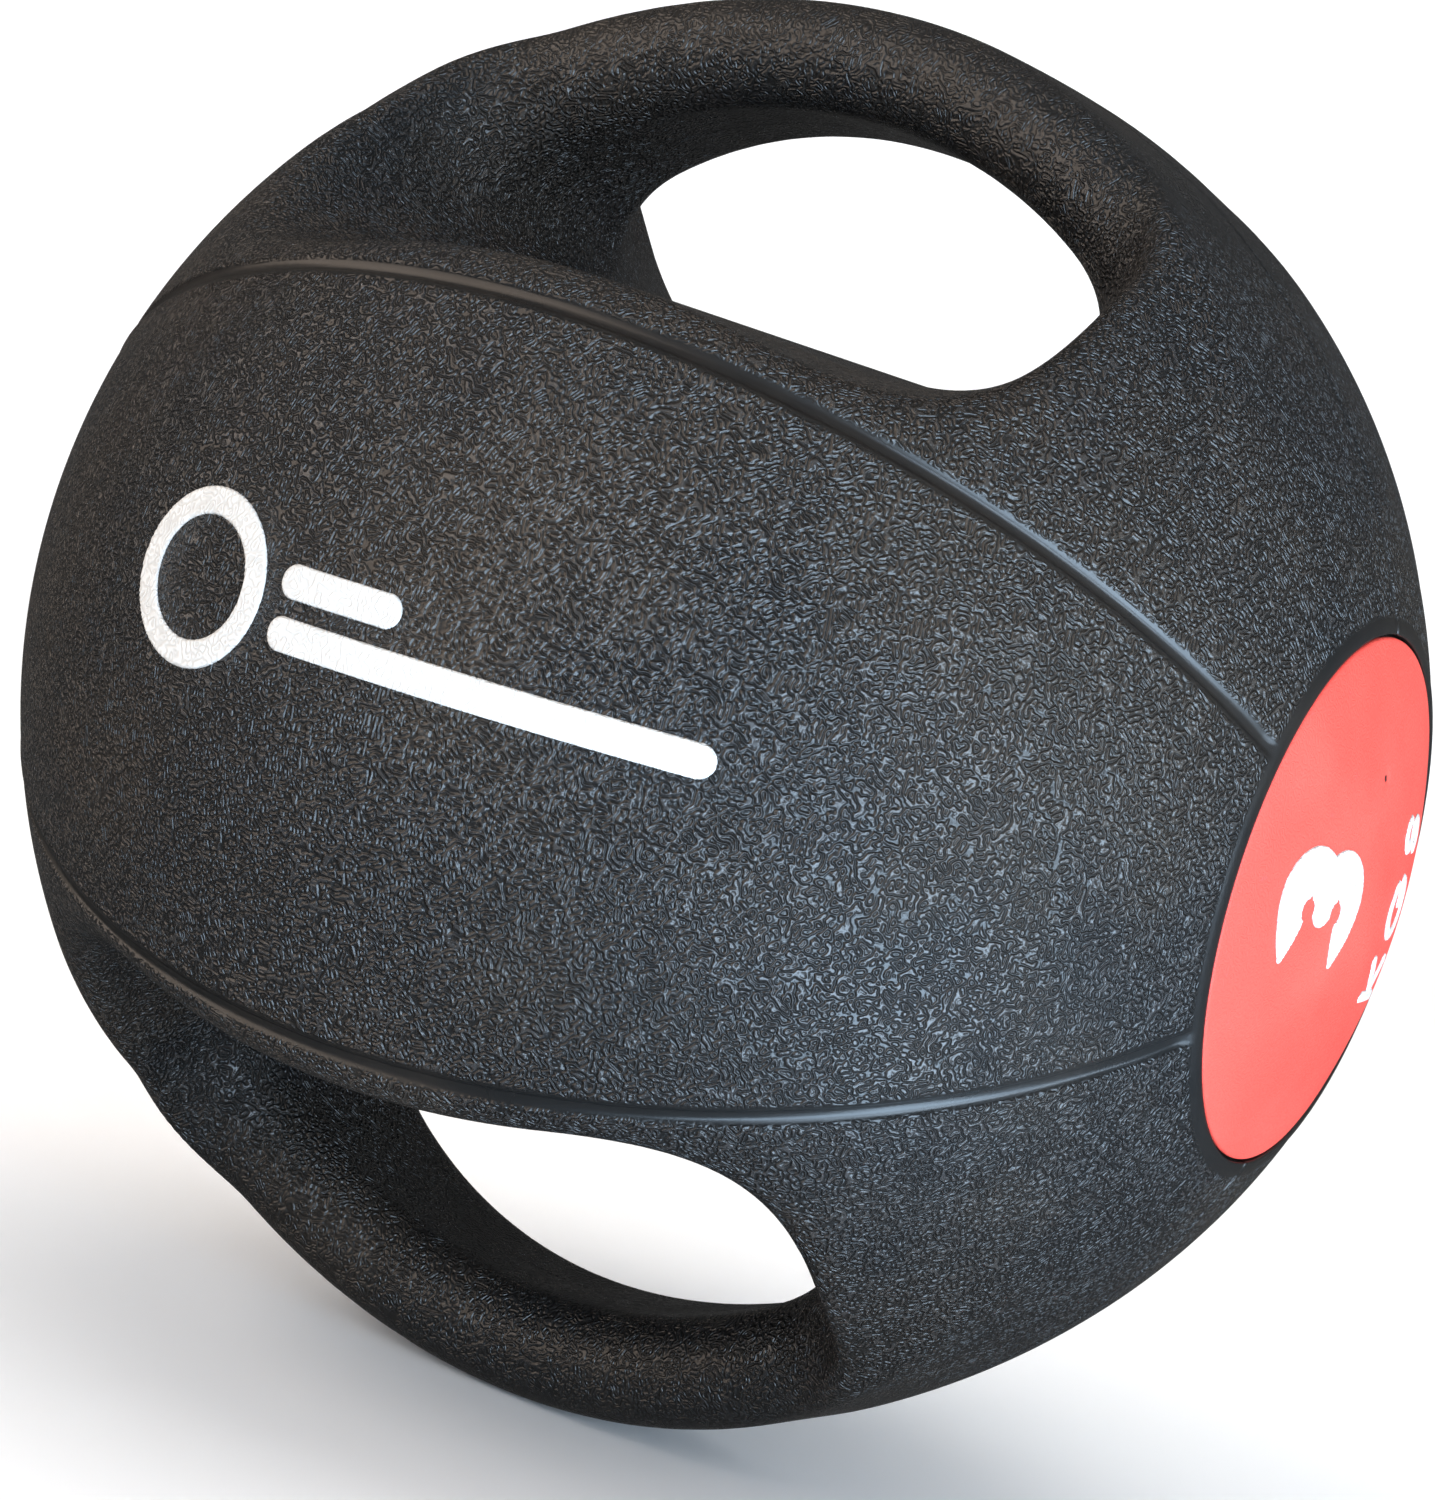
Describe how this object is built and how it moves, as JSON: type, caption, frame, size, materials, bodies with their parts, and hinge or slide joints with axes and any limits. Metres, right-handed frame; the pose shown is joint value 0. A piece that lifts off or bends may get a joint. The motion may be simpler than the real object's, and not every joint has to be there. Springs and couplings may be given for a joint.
{
  "type": "medicine ball",
  "caption": "Black rubber medicine ball with a moulded grip bar over a finger opening at top and bottom, and a red weight disc at each side.",
  "frame": {"origin": "centre of the ball", "axes": "+X out through the right pole disc, +Z through the middle of the upper grip, -Y towards the printed front panel"},
  "size_m": [0.2396, 0.2403, 0.2444],
  "materials": {
    "black_rubber": "pebbled satin rubber",
    "red_rubber": "fine matt rubber",
    "white_print": "thick matt print",
    "valve_rubber": "smooth soft rubber"
  },
  "bodies": {
    "root": {"front_shell_half": "black_rubber", "rear_shell_half": "black_rubber", "right_pole_disc": "red_rubber", "left_pole_disc": "red_rubber", "right_weight_mark": "white_print", "left_weight_mark": "white_print", "front_panel_mark": "white_print", "valve_bung": "valve_rubber"}
  },
  "joints": []
}
